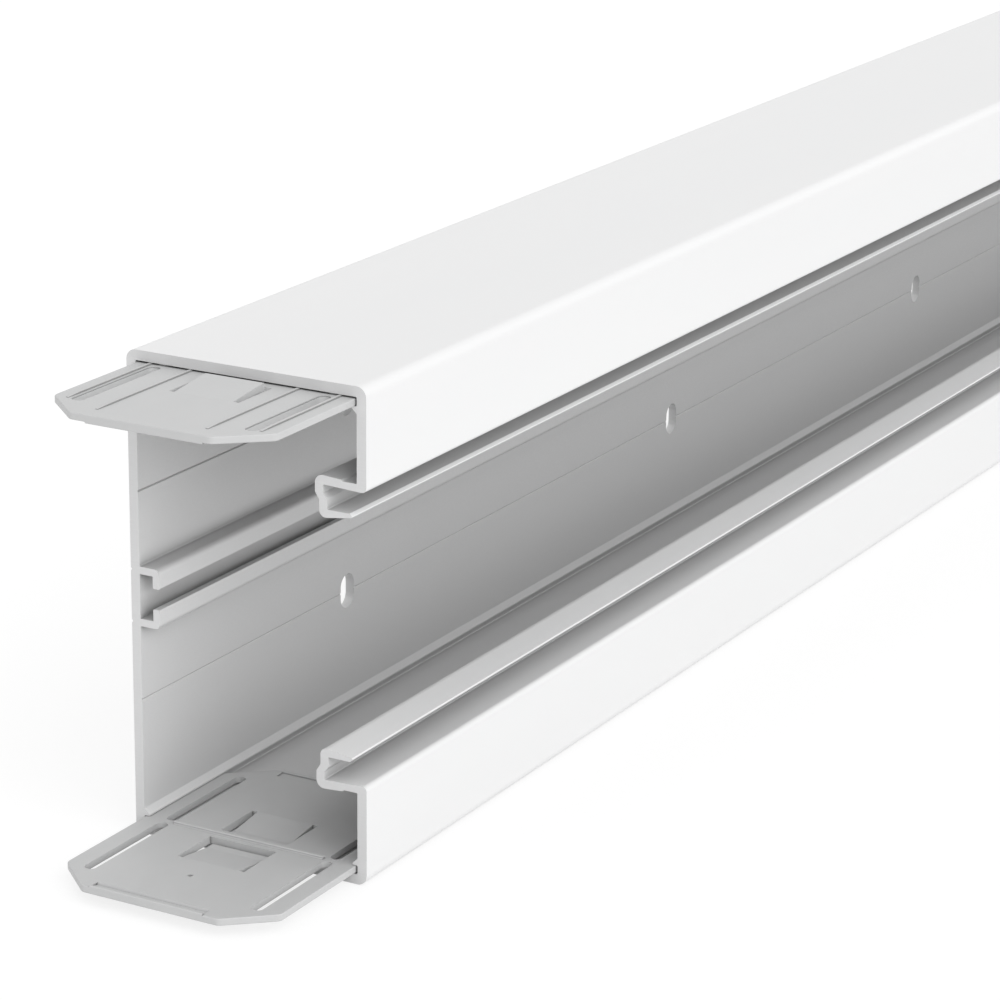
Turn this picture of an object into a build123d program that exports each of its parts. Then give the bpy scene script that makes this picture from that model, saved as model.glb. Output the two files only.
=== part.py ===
from build123d import *
import os

# Open-fronted plastic cable trunking with two joining plates (couplers) half way into one end.
# Sizes are in millimetres. X runs along the trunking, the open front faces -Y, Z is up.
# The origin is the middle of the bottom wall's outer face.

# Trunking, overall
length = 2000.0
height = 130.0
depth = 70.0
wall = 2.7
outer_corner_radius = 2.8

# Front flanges, and the snap lip that each one carries
flange_height = 26.75
flange_edge_radius = 1.3
ledge_wall = 2.5
ledge_rise = 0.5
lip_wall = 2.3
cover_channel_height = 5.8
cover_channel_depth = 11.2
hook_undercut = 1.2
hook_pocket_height = 1.65
hook_ramp_height = 1.4
lip_back_lead = 0.5
foot_setback = 3.8
foot_root_wall = 2.15
foot_bevel = 1.0
ledge_groove_width = 4.0
ledge_groove_depth = 0.4
lip_back_radius = 2.2
lip_front_radius = 1.8
small_radius = 0.3

# Guide noses in the four inner corners, which hold the couplers against the walls
guide_gap = 2.4
nose_reach = 1.5
nose_tip = 0.4
nose_ramp = 1.5

# C-shaped rail down the middle of the back wall
rail_width = 16.0
rail_rise = 5.9
rail_leg = 2.0
rail_return = 1.95
rail_mouth = 5.5
rail_corner_radius = 1.4

# Lines scribed in the back wall, and the fixing slots
slot_row_inset = 37.0
scribe_width = 0.6
scribe_depth = 0.3
back_line_spacing = 14.0
back_line_width = 0.9
back_line_depth = 0.35
slot_width = 7.0
slot_height = 10.0
slot_pitch = 200.0
first_slot = 100.0

# Coupler plate
coupler_length = 89.2
coupler_thickness = 1.9
coupler_side_gap = 0.4
coupler_overhang = 0.4
coupler_edge_radius = 0.3
coupler_corner_length = 10.2
coupler_corner_width = 11.8
coupler_corner_radius = 2.5

# Long slots beside the coupler's edges, with a fine rebate round them on the wall side
edge_slot_width = 3.2
edge_slot_inset = 5.45
edge_slot_start = 1.0
edge_slot_end_margin = 9.1
edge_slot_rebate_width = 0.2
edge_slot_rebate_depth = 0.36

# Spring tongues, one in each half of the coupler
window_width = 20.0
window_start = 2.5
window_end = 17.3
tongue_width = 17.0
tongue_tip_gap = 0.95
tongue_tip_slant = 0.3
tongue_tip_radius = 0.2
tongue_flat = 3.0
tongue_drop = 1.38
free_rise = 1.55

# Crush ribs on the coupler's wall side, with lower ends that lead it into the guides
crush_rib_height = 0.36
crush_rib_width = 0.7
crush_rib_lead = 5.0
crush_rib_end_height = 0.12
outer_rib_inset = 4.2
outer_rib_end_margin = 9.9
inner_rib_inset = 16.2
inner_rib_end_margin = 5.1

# Stop rib across the middle of the channel side
stop_rib_height = 0.75
stop_rib_width = 1.0
stop_rib_foot = 0.25
stop_rib_end_gap = 0.7

# Finger grip at each end of the channel side: a raised lip, and behind it a groove with a
# sloping far side and a floor that rises to the lip
end_lip_height = 0.36
end_lip_width = 0.9
end_lip_length = 33.4
end_lip_shift = 1.1
end_groove_width = 2.8
end_groove_depth = 0.5
end_groove_floor_rise = 0.3

# Pit that the moulding's sprue left
gate_mark_place = 26.0
gate_mark_shift = 0.2
gate_mark_radius = 0.55
gate_mark_depth = 0.4

# Worked out from the above
near_end = -length / 2
coupler_middle = near_end - coupler_overhang
coupler_width = depth - 2 * wall - 2 * coupler_side_gap
coupler_play = (guide_gap - coupler_thickness - crush_rib_height) / 2
coupler_lift = wall + coupler_play + crush_rib_height
edge_slot_length = coupler_length / 2 - edge_slot_start - edge_slot_end_margin
edge_slot_across = coupler_width / 2 - edge_slot_inset - edge_slot_width / 2
stop_rib_length = 2 * (edge_slot_across - edge_slot_width / 2 - stop_rib_end_gap)


def outline(corners):
    """A flat face from (across, up, radius) corners; a radius of 0 is a sharp corner."""
    points = [(across, up) for across, up, radius in corners]
    radii = [radius for across, up, radius in corners]
    with BuildSketch() as sketch:
        with BuildLine():
            FilletPolyline(*points, radius=radii, close=True)
        make_face()
    return sketch.sketch


def lower_half():
    """Corners of the section below mid height, from the back face round to the rail."""
    middle = height / 2
    leg_front = depth - cover_channel_depth
    leg_back = leg_front - lip_wall
    ledge_under = flange_height - ledge_wall
    pocket_top = flange_height + hook_pocket_height
    ramp_top = pocket_top + hook_ramp_height
    channel_top = flange_height + cover_channel_height
    foot_tip = depth - foot_setback
    foot_top = channel_top + foot_root_wall
    front_inner = depth - wall
    nose_low = wall + guide_gap
    nose_high = nose_low + nose_tip
    nose_root = nose_high + nose_ramp
    rail_low = middle - rail_width / 2
    rail_top = wall + rail_rise
    back_line = middle - back_line_spacing / 2
    groove_end = front_inner - ledge_groove_width

    back_face = [
        (0, back_line + back_line_width / 2, 0),
        (back_line_depth, back_line, 0),
        (0, back_line - back_line_width / 2, 0),
        (0, 0, outer_corner_radius),
        (depth, 0, outer_corner_radius),
        (depth, flange_height, flange_edge_radius),
    ]
    cover_channel = [
        (leg_front - hook_undercut, flange_height - ledge_rise, small_radius),
        (leg_front - hook_undercut, pocket_top, small_radius),
        (leg_front, ramp_top, small_radius),
        (leg_front, channel_top, small_radius),
        (foot_tip - foot_bevel, channel_top, 0),
        (foot_tip, channel_top + foot_bevel, small_radius),
    ]
    lip_back = [
        (leg_front, foot_top, 0),
        (leg_back, foot_top, lip_front_radius),
        (leg_back, ramp_top + lip_back_lead, small_radius),
        (leg_back - hook_undercut, pocket_top, small_radius),
        (leg_back - hook_undercut, ledge_under - ledge_rise, lip_back_radius),
        (groove_end - ledge_groove_depth, ledge_under, 0),
        (groove_end, ledge_under + ledge_groove_depth, 0),
        (front_inner, ledge_under + ledge_groove_depth, small_radius),
    ]
    guides = [
        (front_inner, nose_root, small_radius),
        (front_inner - nose_reach, nose_high, 0),
        (front_inner - nose_reach, nose_low, 0),
        (front_inner, nose_low, small_radius),
        (front_inner, wall, small_radius),
        (wall, wall, small_radius),
        (wall, nose_low, small_radius),
        (wall + nose_reach, nose_low, 0),
        (wall + nose_reach, nose_high, 0),
        (wall, nose_root, small_radius),
    ]
    back_wall_inside = [
        (wall, slot_row_inset - scribe_width / 2, 0),
        (wall - scribe_depth, slot_row_inset, 0),
        (wall, slot_row_inset + scribe_width / 2, 0),
    ]
    rail = [
        (wall, rail_low, small_radius),
        (rail_top, rail_low, rail_corner_radius),
        (rail_top, middle - rail_mouth / 2, small_radius),
        (rail_top - rail_return, middle - rail_mouth / 2, small_radius),
        (rail_top - rail_return, rail_low + rail_leg, 0),
        (wall, rail_low + rail_leg, 0),
    ]
    return back_face + cover_channel + lip_back + guides + back_wall_inside + rail


def trunking():
    """The extruded profile, cut to length, with its two rows of fixing slots."""
    lower = lower_half()
    upper = [(across, height - up, radius) for across, up, radius in reversed(lower)]
    section_plane = Plane(origin=(length / 2, depth / 2, 0), x_dir=(0, -1, 0), z_dir=(-1, 0, 0))
    profile = extrude(section_plane * outline(lower + upper), amount=length)

    slot_count = int((length - first_slot) // slot_pitch) + 1
    slot_places = [
        (near_end + first_slot + index * slot_pitch, row)
        for index in range(slot_count)
        for row in (slot_row_inset, height - slot_row_inset)
    ]
    punch_plane = Plane(origin=(0, depth / 2 + wall, 0), x_dir=(1, 0, 0), z_dir=(0, -1, 0))
    punches = Locations(*slot_places).locations
    punch_shape = Sketch() + [
        place * SlotOverall(slot_height, slot_width, rotation=90) for place in punches
    ]
    return profile - extrude(punch_plane * punch_shape, amount=3 * wall)


def coupler_blank():
    """The flat plate, its wall side at z = 0, with its corners cut off and its rims rounded."""
    half_length = coupler_length / 2
    half_width = coupler_width / 2
    quarter = [
        (half_length, half_width - coupler_corner_width, coupler_corner_radius),
        (half_length - coupler_corner_length, half_width, coupler_corner_radius),
    ]
    half = quarter + [(-x, y, radius) for x, y, radius in reversed(quarter)]
    whole = half + [(x, -y, radius) for x, y, radius in reversed(half)]
    plate = extrude(outline(whole), amount=coupler_thickness)
    rims = plate.faces().sort_by(Axis.Z)[0].edges() + plate.faces().sort_by(Axis.Z)[-1].edges()
    return fillet(rims, coupler_edge_radius)


def coupler_holes():
    """The four long slots with their rebates, and the two windows, cut right through."""
    holes = Sketch()
    rebates = Sketch()
    rebate_length = edge_slot_length + 2 * edge_slot_rebate_width
    rebate_across = edge_slot_width + 2 * edge_slot_rebate_width
    for side in (-1, 1):
        slot_middle = side * (edge_slot_start + edge_slot_length / 2)
        window_middle = side * (window_start + window_end) / 2
        for across in (-edge_slot_across, edge_slot_across):
            place = Pos(slot_middle, across)
            holes += place * SlotOverall(edge_slot_length, edge_slot_width)
            rebates += place * SlotOverall(rebate_length, rebate_across)
        holes += Pos(window_middle, 0) * Rectangle(window_end - window_start, window_width)
    through = extrude(holes, amount=coupler_thickness)
    return through + extrude(rebates, amount=edge_slot_rebate_depth)


def side_on(corners, width, middle=0.0):
    """A solid with a side outline of (along, up, radius) corners, `width` thick across."""
    side_plane = Plane(origin=(0, middle + width / 2, 0), x_dir=(1, 0, 0), z_dir=(0, -1, 0))
    return extrude(side_plane * outline(corners), amount=width)


def crush_rib(end_margin, across):
    """A rib on the wall side that takes up the slack in the guides; its two ends are lower."""
    tip = coupler_length / 2 - end_margin
    full = tip - crush_rib_lead
    corners = [
        (-tip, 0, 0),
        (-tip, -crush_rib_end_height, 0),
        (-full, -crush_rib_height, 0),
        (full, -crush_rib_height, 0),
        (tip, -crush_rib_end_height, 0),
        (tip, 0, 0),
    ]
    return side_on(corners, crush_rib_width, across)


def stop_rib():
    """The rib across the channel side that lines up with the trunking's cut end."""
    half_width = stop_rib_width / 2
    foot_end = half_width + stop_rib_foot
    foot_top = coupler_thickness + stop_rib_foot
    rib_top = coupler_thickness + stop_rib_height
    corners = [
        (-foot_end, coupler_thickness, 0),
        (-half_width, foot_top, 0),
        (-half_width, rib_top, coupler_edge_radius),
        (half_width, rib_top, coupler_edge_radius),
        (half_width, foot_top, 0),
        (foot_end, coupler_thickness, 0),
    ]
    return side_on(corners, stop_rib_length)


def end_lip(side):
    """The raised lip along one end, flush with the plate's end face."""
    end = coupler_length / 2
    lip_back = end - end_lip_width
    lip_top = coupler_thickness + end_lip_height
    corners = [
        (side * end, coupler_thickness / 2, 0),
        (side * end, lip_top, coupler_edge_radius),
        (side * lip_back, lip_top, coupler_edge_radius),
        (side * lip_back, coupler_thickness / 2, 0),
    ]
    return side_on(corners, end_lip_length, end_lip_shift)


def end_groove(side):
    """The finger groove behind the lip."""
    lip_back = coupler_length / 2 - end_lip_width
    far_side = lip_back - end_groove_width
    groove_foot = coupler_thickness - end_groove_depth
    corners = [
        (side * far_side, coupler_thickness, 0),
        (side * (far_side + end_groove_depth), groove_foot, 0),
        (side * lip_back, groove_foot + end_groove_floor_rise, 0),
        (side * lip_back, coupler_thickness, 0),
    ]
    return side_on(corners, end_lip_length, end_lip_shift)


def tongue(side, rise):
    """A spring tongue in one half; its tip stands `rise` out past the wall side of the plate."""
    tip = window_start + tongue_tip_gap
    low = coupler_thickness - tongue_drop
    corners = [
        (side * window_end, 0, 0),
        (side * window_end, coupler_thickness, 0),
        (side * (tip + tongue_flat), low, 0),
        (side * tip, low, tongue_tip_radius),
        (side * (tip + tongue_tip_slant), -rise, tongue_tip_radius),
    ]
    return side_on(corners, tongue_width)


def coupler():
    """One coupler: the tongue in the trunking is pressed in, the tongue outside stands free."""
    half_width = coupler_width / 2
    plate = coupler_blank() - coupler_holes() + stop_rib()
    for side in (-1, 1):
        plate += crush_rib(outer_rib_end_margin, side * (half_width - outer_rib_inset))
        plate += crush_rib(inner_rib_end_margin, side * (half_width - inner_rib_inset))
        plate = plate + end_lip(side) - end_groove(side)
    pit_height = coupler_thickness - gate_mark_depth + gate_mark_radius
    plate -= Pos(-gate_mark_place, gate_mark_shift, pit_height) * Sphere(gate_mark_radius)
    return plate + tongue(1, crush_rib_height) + tongue(-1, free_rise)


piece = coupler()
lower_coupler = Pos(coupler_middle, 0, coupler_lift) * piece
upper_coupler = Pos(coupler_middle, 0, height - coupler_lift) * Rot(180, 0, 0) * piece

nodes = {
    "trunking_profile": trunking(),
    "lower_coupler": lower_coupler,
    "upper_coupler": upper_coupler,
}

os.makedirs("parts", exist_ok=True)
for name, shape in nodes.items():
    export_step(shape, f"parts/{name}.step")
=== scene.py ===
# %% [markdown]
# # A length of cable trunking with its two coupler plates
#
# The object is one long white plastic extrusion, open at the front, and two light grey moulded
# plates that stand half way out of its near end. All three shapes come from the CAD model and
# stay as they are. What is made here is what CAD has no words for: the skin that the die leaves on
# an extrusion, the bare plastic that a saw leaves on its end, the dull grain of a moulded plate,
# and the light that shows them.

# %% Load the CAD model
import bmesh
import bpy
from math import pi, radians
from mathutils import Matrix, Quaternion, Vector

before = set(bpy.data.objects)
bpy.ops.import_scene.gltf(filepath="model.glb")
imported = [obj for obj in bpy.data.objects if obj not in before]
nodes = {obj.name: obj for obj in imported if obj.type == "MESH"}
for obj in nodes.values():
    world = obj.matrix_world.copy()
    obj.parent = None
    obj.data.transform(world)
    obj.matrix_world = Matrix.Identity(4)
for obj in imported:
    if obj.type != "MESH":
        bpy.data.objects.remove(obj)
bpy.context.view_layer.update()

MM = 0.001
for name, piece in nodes.items():
    print(name, "has", len(piece.data.polygons), "faces")

# %% [markdown]
# ## Camera
#
# The photo was taken from beyond the near end, a little to the left of the open front and above
# it, with a long lens. A long lens far away flattens the picture: the trunking narrows only slowly
# towards its far end. The place and the lens were worked out from the edges of the trunking in the
# photo, so they are measured values, not values tried by eye.

# %% Camera
camera_place = Vector((-1.7224, -0.4761, 0.3703))
camera_aim = Vector((-0.8710, 0.0, 0.0610))
camera_roll = radians(0.605)
lens_mm = 131.76
film_width_mm = 36.0
nearest_seen = 0.05
furthest_seen = 100.0

camera_data = bpy.data.cameras.new("camera")
camera_data.lens = lens_mm
camera_data.sensor_width = film_width_mm
camera_data.clip_start = nearest_seen
camera_data.clip_end = furthest_seen
camera = bpy.data.objects.new("camera", camera_data)
camera.location = camera_place
looking = (camera_aim - camera_place).to_track_quat("-Z", "Y")
camera.rotation_mode = "QUATERNION"
camera.rotation_quaternion = looking @ Quaternion((0, 0, 1), camera_roll)
bpy.context.scene.collection.objects.link(camera)
bpy.context.scene.camera = camera
bpy.context.scene.view_settings.view_transform = "Standard"
print("camera is", round((camera_aim - camera_place).length, 2), "m from the point it looks at")

# %% [markdown]
# ## A finish is a chain of nodes
#
# In Blender, a finish is a chain of nodes that ends in a shader. It can be wired by hand in the
# shader editor. In a script a small class does the same: it makes the material, empties it, puts a
# Principled shader at the end, and has short ways to add a node and to join two sockets. With
# these, each finish below reads as a list of what is done to the surface.

# %% A finish and its shader


class Finish:
    """A new material with its Principled shader, and short ways to add and join nodes."""

    def __init__(self, name):
        self.material = bpy.data.materials.new(name)
        self.material.use_nodes = True
        self.tree = self.material.node_tree
        self.tree.nodes.clear()
        self.output = self.add("ShaderNodeOutputMaterial")
        self.shader = self.add("ShaderNodeBsdfPrincipled")
        self.join(self.shader, "BSDF", self.output, "Surface")
        self.place = self.add("ShaderNodeTexCoord")

    def add(self, kind, **settings):
        node = self.tree.nodes.new(kind)
        for key, value in settings.items():
            setattr(node, key, value)
        return node

    def join(self, source, output, target, entry):
        self.tree.links.new(source.outputs[output], target.inputs[entry])


# %% [markdown]
# ## Grain, lines and clouds
#
# The lines that a die leaves, the grain of a skin and the slight clouding of its colour are one
# thing at different sizes: noise, dense in one direction and drawn out in another. They could be
# painted as pictures, but then the surface has to be unfolded first, and a picture blurs close up.
# Noise in the object's own metres needs neither, and its density is simply so much to the metre.

# %% Noise, blends and relief


def noise(finish, per_metre, detail=2.0, roughness=0.5):
    """Noise in the object's own metres, of that density along X, Y and Z."""
    mapping = finish.add("ShaderNodeMapping")
    mapping.inputs["Scale"].default_value = per_metre
    finish.join(finish.place, "Object", mapping, "Vector")
    texture = finish.add("ShaderNodeTexNoise")
    texture.inputs["Scale"].default_value = 1.0
    texture.inputs["Detail"].default_value = detail
    texture.inputs["Roughness"].default_value = roughness
    finish.join(mapping, "Vector", texture, "Vector")
    return texture


def spread(finish, source, output, low, high, start=0.0, end=1.0):
    """Map a value from start..end to low..high."""
    node = finish.add("ShaderNodeMapRange")
    node.inputs["From Min"].default_value = start
    node.inputs["From Max"].default_value = end
    node.inputs["To Min"].default_value = low
    node.inputs["To Max"].default_value = high
    finish.join(source, output, node, "Value")
    return node


def blend(finish, source, output, first, second, kind="RGBA"):
    """`first` where a value is 0 and `second` where it is 1. Each is a node or a fixed value."""
    node = finish.add("ShaderNodeMix", data_type=kind)
    finish.join(source, output, node, "Factor")
    for entry, value in (("A", first), ("B", second)):
        if isinstance(value, bpy.types.Node):
            finish.join(value, "Result", node, entry)
        else:
            node.inputs[entry].default_value = value
    return node


def relief(finish, source, height, under=None):
    """Noise turned into relief of that height in metres, on top of the relief `under` it."""
    node = finish.add("ShaderNodeBump")
    node.inputs["Strength"].default_value = 1.0
    node.inputs["Distance"].default_value = height
    finish.join(source, "Fac", node, "Height")
    if under is not None:
        finish.join(under, "Normal", node, "Normal")
    return node


# %% [markdown]
# ## Painted shade in corners and hollows
#
# Pale plastic throws so much light about that a narrow channel in it can wash out until its lips
# and corners are hard to read. Three things keep them clear. Gaps and corners of a few millimetres
# get a narrow painted shade, the hollow of the trunking as a whole gets a broad and weak one, and
# the light that the skin throws on to other surfaces is less than the light that it shows to the
# eye. Both painted shades come from the Ambient Occlusion node, which says how open a point is to
# what lies around it, and they darken the colour itself. Less light overall would deepen the inside
# too, but it would also grey the front.

# %% Painted shade in corners and hollows


def painted_shade(finish, reach, darkest, closed, open_from, own_shape=False):
    """A painted shade for the colour: 1 in the open, down to `darkest` where surfaces closer than
    `reach` metres close it in.

    `closed` and `open_from` are the shares of the view outwards at which the shade is full
    and at which it ends. With `own_shape` only the piece itself counts, not its neighbours.
    """
    openness = finish.add("ShaderNodeAmbientOcclusion", samples=6, only_local=own_shape)
    openness.inputs["Distance"].default_value = reach
    return spread(finish, openness, "AO", darkest, 1.0, start=closed, end=open_from)


def darken(finish, colour, by):
    """That colour, darkened by a painted shade."""
    node = finish.add("ShaderNodeMix", data_type="RGBA", blend_type="MULTIPLY")
    node.inputs["Factor"].default_value = 1.0
    finish.join(colour, "Result", node, "A")
    finish.join(by, "Result", node, "B")
    return node


def paint(finish, colour, thrown_back):
    """Give the shader its colour. Light on its way to other surfaces takes `thrown_back`."""
    path = finish.add("ShaderNodeLightPath")
    held_back = (thrown_back, thrown_back, thrown_back, 1.0)
    node = blend(finish, path, "Is Diffuse Ray", colour, held_back)
    finish.join(node, "Result", finish.shader, "Base Color")


# %% [markdown]
# ## The sawn ends
#
# The trunking is cut to length with a saw, which takes the skin off its two ends and leaves them
# duller and a little darker. The ends could be given a material of their own, face by face. But
# they face along X, so it is simpler to let the finish ask which way the surface faces. The sides
# of the punched slots are the only others that do, and they are bare plastic too.

# %% The sawn ends
sawn_darker = (0.700, 0.702, 0.706, 1.0)
sawn_lighter = (0.760, 0.760, 0.762, 1.0)
saw_marks_per_metre = (1.0, 120.0, 2400.0)
sawn_roughness = 0.62


def sawn_share(finish):
    """1 on the sawn ends and 0 on the skin."""
    facing = finish.add("ShaderNodeSeparateXYZ")
    finish.join(finish.place, "Normal", facing, "Vector")
    along = finish.add("ShaderNodeMath", operation="ABSOLUTE")
    finish.join(facing, "X", along, 0)
    return spread(finish, along, "Value", 0.0, 1.0, start=0.85, end=0.95)


# %% [markdown]
# ## White extruded plastic
#
# The trunking is squeezed through a steel die while soft and drawn off in one direction. The skin
# is satin and very even. Scratches in the die leave faint lines that run along the whole length,
# and cooling leaves a grain of a few tenths of a millimetre. Both are far too fine for geometry,
# so they are noise: drawn out along X for the die lines, and even in all directions for the grain.

# %% White extruded plastic
skin_darker = (0.800, 0.802, 0.806, 1.0)
skin_lighter = (0.830, 0.830, 0.830, 1.0)
skin_smoothest, skin_roughest = 0.36, 0.46
clouds_per_metre = (6.0, 40.0, 40.0)
die_lines_per_metre = (1.5, 900.0, 900.0)
die_line_height = 0.012 * MM
skin_grain_per_metre = (2600.0, 2600.0, 2600.0)
skin_grain_height = 0.020 * MM
extruded_refraction = 1.53


def white_extruded_plastic():
    finish = Finish("white extruded plastic")
    clouds = noise(finish, clouds_per_metre)
    saw_marks = noise(finish, saw_marks_per_metre)
    is_sawn = sawn_share(finish)

    skin = blend(finish, clouds, "Fac", skin_darker, skin_lighter)
    sawn = blend(finish, saw_marks, "Fac", sawn_darker, sawn_lighter)
    colour = blend(finish, is_sawn, "Result", skin, sawn)
    # Painted shade: the colour is darkened in corners and gaps, and more weakly all through the
    # hollow.
    painted_corner_shade = painted_shade(finish, 2.5 * MM, darkest=0.60, closed=0.35, open_from=0.80, own_shape=True)
    painted_hollow_shade = painted_shade(finish, 80 * MM, darkest=0.77, closed=0.45, open_from=0.95, own_shape=True)
    colour = darken(finish, darken(finish, colour, painted_corner_shade), painted_hollow_shade)
    paint(finish, colour, thrown_back=0.40)

    skin_sheen = spread(finish, clouds, "Fac", skin_smoothest, skin_roughest)
    roughness = blend(finish, is_sawn, "Result", skin_sheen, sawn_roughness, kind="FLOAT")
    finish.join(roughness, "Result", finish.shader, "Roughness")

    die_lines = relief(finish, noise(finish, die_lines_per_metre, detail=3.0), die_line_height)
    grain = noise(finish, skin_grain_per_metre)
    surface = relief(finish, grain, skin_grain_height, under=die_lines)
    finish.join(surface, "Normal", finish.shader, "Normal")
    finish.shader.inputs["IOR"].default_value = extruded_refraction
    return finish.material


def dress(node, material):
    piece = nodes[node]
    piece.data.materials.clear()
    piece.data.materials.append(material)
    print(node, "is finished in", material.name)


dress("trunking_profile", white_extruded_plastic())

# %% [markdown]
# ## Dark flecks at the gates
#
# Each coupler is filled through one small hole in the mould, the gate. The pit that it leaves
# is in the CAD model. Round each pit, within a millimetre or two, the plate is coloured much
# darker in flecks: a small ball of coordinates says where, and noise breaks the ball up into
# flecks.

# %% Dark flecks at the gates
lower_gate_place = (-1.0264, 0.0002, 0.0050)
upper_gate_place = (-1.0264, -0.0002, 0.1250)
gate_fleck_radius = 1.6 * MM
gate_flecks_per_metre = (1500.0, 1500.0, 1500.0)


def spot(finish, middle, radius):
    """1 at the point `middle`, down to 0 at `radius` metres from it."""
    mapping = finish.add("ShaderNodeMapping")
    mapping.inputs["Scale"].default_value = (1 / radius, 1 / radius, 1 / radius)
    mapping.inputs["Location"].default_value = [-value / radius for value in middle]
    finish.join(finish.place, "Object", mapping, "Vector")
    ball = finish.add("ShaderNodeTexGradient", gradient_type="SPHERICAL")
    finish.join(mapping, "Vector", ball, "Vector")
    return ball


def gate_fleck_share(finish):
    """1 on the dark flecks round both gates and 0 elsewhere."""
    either = finish.add("ShaderNodeMath", operation="MAXIMUM")
    finish.join(spot(finish, lower_gate_place, gate_fleck_radius), "Fac", either, 0)
    finish.join(spot(finish, upper_gate_place, gate_fleck_radius), "Fac", either, 1)
    flecks = finish.add("ShaderNodeMath", operation="MULTIPLY")
    finish.join(either, "Value", flecks, 0)
    finish.join(noise(finish, gate_flecks_per_metre, detail=1.0), "Fac", flecks, 1)
    return spread(finish, flecks, "Value", 0.0, 1.0, start=0.22, end=0.46)


# %% [markdown]
# ## Grey moulded plastic
#
# The couplers are injection moulded. The steel of the mould is spark eroded, which gives the
# plates a fine, even, matte grain, duller than the skin of the trunking. There is no direction in
# it, so one even noise carries the grain and a second, larger one the slight unevenness of the
# colour and the sheen that thin mouldings have. The ribs and rebates are only a third of a
# millimetre high, so the narrow painted shade at their feet, which darkens the colour, reaches less
# than a millimetre.

# %% Grey moulded plastic
plate_darker = (0.545, 0.549, 0.551, 1.0)
plate_lighter = (0.594, 0.596, 0.596, 1.0)
plate_smoothest, plate_roughest = 0.44, 0.56
gate_fleck_colour = (0.30, 0.30, 0.30, 1.0)
flow_per_metre = (60.0, 110.0, 60.0)
plate_grain_per_metre = (3200.0, 3200.0, 3200.0)
plate_grain_height = 0.025 * MM
moulded_refraction = 1.50


def grey_moulded_plastic():
    finish = Finish("grey moulded plastic")
    flow = noise(finish, flow_per_metre)

    plain = blend(finish, flow, "Fac", plate_darker, plate_lighter)
    colour = blend(finish, gate_fleck_share(finish), "Result", plain, gate_fleck_colour)
    # Painted shade: the colour is darkened at the feet of ribs and rebates and in narrow gaps,
    # also those between a plate and the trunking.
    painted_corner_shade = painted_shade(finish, 0.7 * MM, darkest=0.25, closed=0.35, open_from=0.97)
    paint(finish, darken(finish, colour, painted_corner_shade), thrown_back=0.35)

    roughness = spread(finish, flow, "Fac", plate_smoothest, plate_roughest)
    finish.join(roughness, "Result", finish.shader, "Roughness")

    grain = noise(finish, plate_grain_per_metre, detail=3.0, roughness=0.6)
    finish.join(relief(finish, grain, plate_grain_height), "Normal", finish.shader, "Normal")
    finish.shader.inputs["IOR"].default_value = moulded_refraction
    return finish.material


grey = grey_moulded_plastic()
dress("lower_coupler", grey)
dress("upper_coupler", grey)

# %% [markdown]
# ## White ground
#
# A catalogue photo has a pure white ground. Turning the lamps up until the floor burns out would
# burn out the white plastic too. Instead, the ground glows white only to the rays that show it:
# those from the camera, from a mirror or through glass. The Light Path node tells them apart.
# Every other ray, such as the light that the floor throws back up on the plastic, finds an
# ordinary pale floor.

# %% White to the camera


def glow_share(tree, share):
    """`share` for rays from the camera, from mirrors and through glass, and 0 for all others."""
    path = tree.nodes.new("ShaderNodeLightPath")
    shown = path.outputs["Is Camera Ray"]
    for kind in ("Is Glossy Ray", "Is Transmission Ray"):
        either = tree.nodes.new("ShaderNodeMath")
        either.operation = "MAXIMUM"
        tree.links.new(shown, either.inputs[0])
        tree.links.new(path.outputs[kind], either.inputs[1])
        shown = either.outputs["Value"]
    scaled = tree.nodes.new("ShaderNodeMath")
    scaled.operation = "MULTIPLY"
    scaled.inputs[1].default_value = share
    tree.links.new(shown, scaled.inputs[0])
    return scaled.outputs["Value"]


# %% [markdown]
# ## Floor
#
# The floor shows the camera mostly the white glow and only partly its own lit surface. So it is
# white where the light reaches it, and a soft grey where the trunking shades it, as a real white
# table is. It lies a hair under the trunking, so that the two surfaces don't flicker into one
# another.

# %% Floor
floor_half_size = 30.0
floor_drop = 0.2 * MM
floor_colour = (0.92, 0.92, 0.92, 1.0)
floor_glow = 1.08
floor_glow_share = 0.75


def pale_floor():
    material = bpy.data.materials.new("pale floor")
    material.use_nodes = True
    tree = material.node_tree
    tree.nodes.clear()
    output = tree.nodes.new("ShaderNodeOutputMaterial")
    surface = tree.nodes.new("ShaderNodeBsdfDiffuse")
    surface.inputs["Color"].default_value = floor_colour
    glow = tree.nodes.new("ShaderNodeEmission")
    glow.inputs["Strength"].default_value = floor_glow
    both = tree.nodes.new("ShaderNodeMixShader")
    tree.links.new(glow_share(tree, floor_glow_share), both.inputs["Fac"])
    tree.links.new(surface.outputs["BSDF"], both.inputs[1])
    tree.links.new(glow.outputs["Emission"], both.inputs[2])
    tree.links.new(both.outputs["Shader"], output.inputs["Surface"])
    return material


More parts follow.
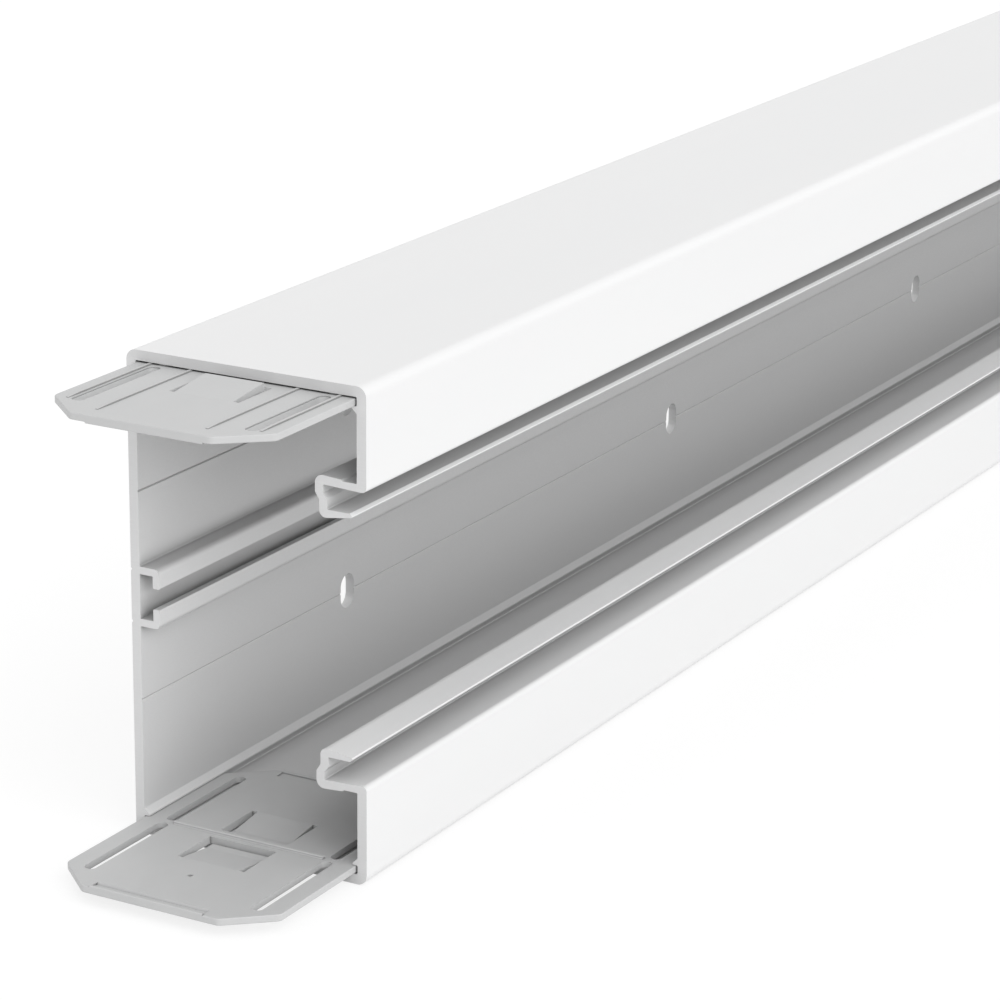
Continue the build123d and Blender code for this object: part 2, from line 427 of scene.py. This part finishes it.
floor_mesh = bpy.data.meshes.new("floor")
shape = bmesh.new()
bmesh.ops.create_grid(shape, x_segments=1, y_segments=1, size=floor_half_size)
shape.to_mesh(floor_mesh)
shape.free()
floor_mesh.materials.append(pale_floor())
floor = bpy.data.objects.new("floor", floor_mesh)
floor.location.z = -floor_drop
bpy.context.scene.collection.objects.link(floor)
print("the floor is", 2 * floor_half_size, "m wide")

# %% [markdown]
# ## Sky of the studio
#
# Most of the light in such a photo comes from all round, thrown back by white walls. An even world
# does the same in one step, where a ring of large lamps would leave bright and dark bands in the
# sheen. The camera sees the world as plain white, and the object is lit by less than that.

# %% Sky of the studio
sky_light = 0.74
sky_seen = 1.0

world = bpy.data.worlds.new("studio")
world.use_nodes = True
bpy.context.scene.world = world
sky = world.node_tree.nodes["Background"]
sky.inputs["Color"].default_value = (1.0, 1.0, 1.0, 1.0)
strength = world.node_tree.nodes.new("ShaderNodeMapRange")
strength.inputs["To Min"].default_value = sky_light
strength.inputs["To Max"].default_value = sky_seen
world.node_tree.links.new(glow_share(world.node_tree, 1.0), strength.inputs["Value"])
world.node_tree.links.new(strength.outputs["Result"], sky.inputs["Strength"])
print("the sky gives", sky_light, "of white")

# %% [markdown]
# ## Lamp
#
# The front of the trunking is the brightest face in the photo, the top a little darker and the
# sawn end darker again, and all of them are even along the whole length. A lamp that stands close
# would fall off along two metres, so the one lamp is a sun, which has the same strength
# everywhere. A wide sun is as soft as a large lamp. It stands in front of the open side and not
# high, so that it reaches past the upper lip on to the back wall. Its strength is in watts per
# square metre, where pi makes a white surface that faces the lamp as bright as white paper.

# %% Lamp
sun_share_of_white = 0.44
sun_width = radians(60.0)
towards_sun = Vector((-0.30, -0.76, 0.57))

sun_data = bpy.data.lights.new("front lamp", "SUN")
sun_data.energy = sun_share_of_white * pi
sun_data.angle = sun_width
sun = bpy.data.objects.new("front lamp", sun_data)
sun.rotation_mode = "QUATERNION"
sun.rotation_quaternion = towards_sun.to_track_quat("Z", "Y")
bpy.context.scene.collection.objects.link(sun)
print("the front lamp gives", sun_share_of_white, "of white to a surface that faces it")
